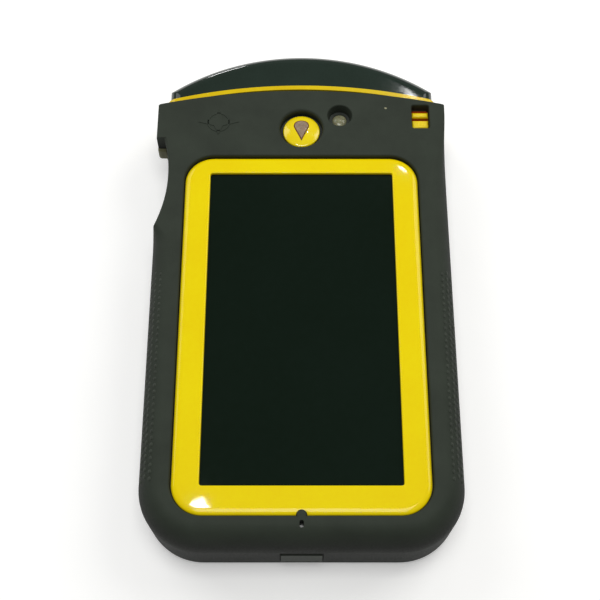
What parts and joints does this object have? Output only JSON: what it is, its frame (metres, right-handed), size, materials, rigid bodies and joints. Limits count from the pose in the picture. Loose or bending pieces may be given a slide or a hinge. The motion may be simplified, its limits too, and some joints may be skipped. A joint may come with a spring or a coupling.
{
  "type": "handheld gps unit",
  "caption": "Rugged handheld GPS unit: slab case with large front display, rubber boot, domed antenna cap, round home button and hinged battery door.",
  "frame": {"origin": "middle of the flat back that the unit lies on, under the centre of its box", "axes": "+X to the unit's right as seen from the front, +Y towards the antenna dome, +Z out of the display"},
  "size_m": [0.1023, 0.184, 0.0283],
  "materials": {
    "boot_rubber": "matt moulded",
    "dome_plastic": "glossy",
    "yellow_trim": "glossy",
    "display_glass": "polished, dark backed",
    "display_panel": "dark when off",
    "case_plastic": "fine spark texture",
    "seal_rubber": "smooth",
    "screw_steel": "plain",
    "insert_brass": "turned",
    "chassis_metal": "die-cast",
    "board_laminate": "solder mask",
    "can_metal": "tinned",
    "patch_ceramic": "fired ceramic",
    "window_plastic": "translucent",
    "lens_plastic": "translucent",
    "key_rubber": "smooth",
    "flap_rubber": "matt moulded",
    "battery_wrap": "wrapped",
    "lock_metal": "turned",
    "grille_metal": "black",
    "ring_aluminium": "anodised grey"
  },
  "bodies": {
    "case": {"rubber_boot": "boot_rubber", "antenna_dome": "dome_plastic", "accent_trim": "yellow_trim", "front_bezel": "yellow_trim", "display_glass": "display_glass", "display_module": "display_panel", "front_housing": "case_plastic", "rear_housing": "case_plastic", "housing_seal": "seal_rubber", "housing_screws": "screw_steel", "strap_inserts": "insert_brass", "chassis": "chassis_metal", "main_board": "board_laminate", "shield_cans": "can_metal", "board_connector": "case_plastic", "gnss_board": "board_laminate", "gnss_antenna": "patch_ceramic", "home_switch": "case_plastic", "sensor_lens": "lens_plastic", "sensor_led": "window_plastic", "charge_light_pipe": "window_plastic", "lanyard_anchor": "yellow_trim", "microphone": "can_metal", "side_switch": "case_plastic", "flap_pin": "screw_steel", "usb_socket": "can_metal", "battery_pack": "battery_wrap", "battery_contacts": "case_plastic", "door_hinge_pin": "screw_steel", "speaker": "case_plastic", "speaker_grille": "grille_metal", "camera_ring": "ring_aluminium", "camera_window": "display_glass", "camera_module": "case_plastic", "flash_window": "lens_plastic", "flash_led": "window_plastic"},
    "home_key": {"home_button": "yellow_trim", "button_window": "window_plastic"},
    "power_key": {"side_key": "key_rubber"},
    "flap": {"port_flap": "flap_rubber"},
    "door": {"battery_door": "case_plastic", "door_seal": "seal_rubber"},
    "lock": {"door_lock": "lock_metal"}
  },
  "joints": [
    {"name": "home_press", "type": "slide", "parent": "case", "child": "home_key", "axis": [0, 0, -1], "range_m": [0, 0.0006], "stiffness_N_per_m": 2500, "springref_m": -0.0002},
    {"name": "power_press", "type": "slide", "parent": "case", "child": "power_key", "axis": [1, 0, 0], "range_m": [0, 0.0005], "stiffness_N_per_m": 2500, "springref_m": -0.0002},
    {"name": "flap_hinge", "type": "hinge", "parent": "case", "child": "flap", "pos_m": [0, -0.0909, 0.007], "axis": [1, 0, 0], "range_deg": [0, 110]},
    {"name": "door_hinge", "type": "hinge", "parent": "case", "child": "door", "pos_m": [0, -0.069, 0.0018], "axis": [-1, 0, 0], "range_deg": [0, 90]},
    {"name": "lock_turn", "type": "hinge", "parent": "door", "child": "lock", "pos_m": [0, 0.0234, 0.0005], "axis": [0, 0, -1], "range_deg": [0, 90]}
  ]
}
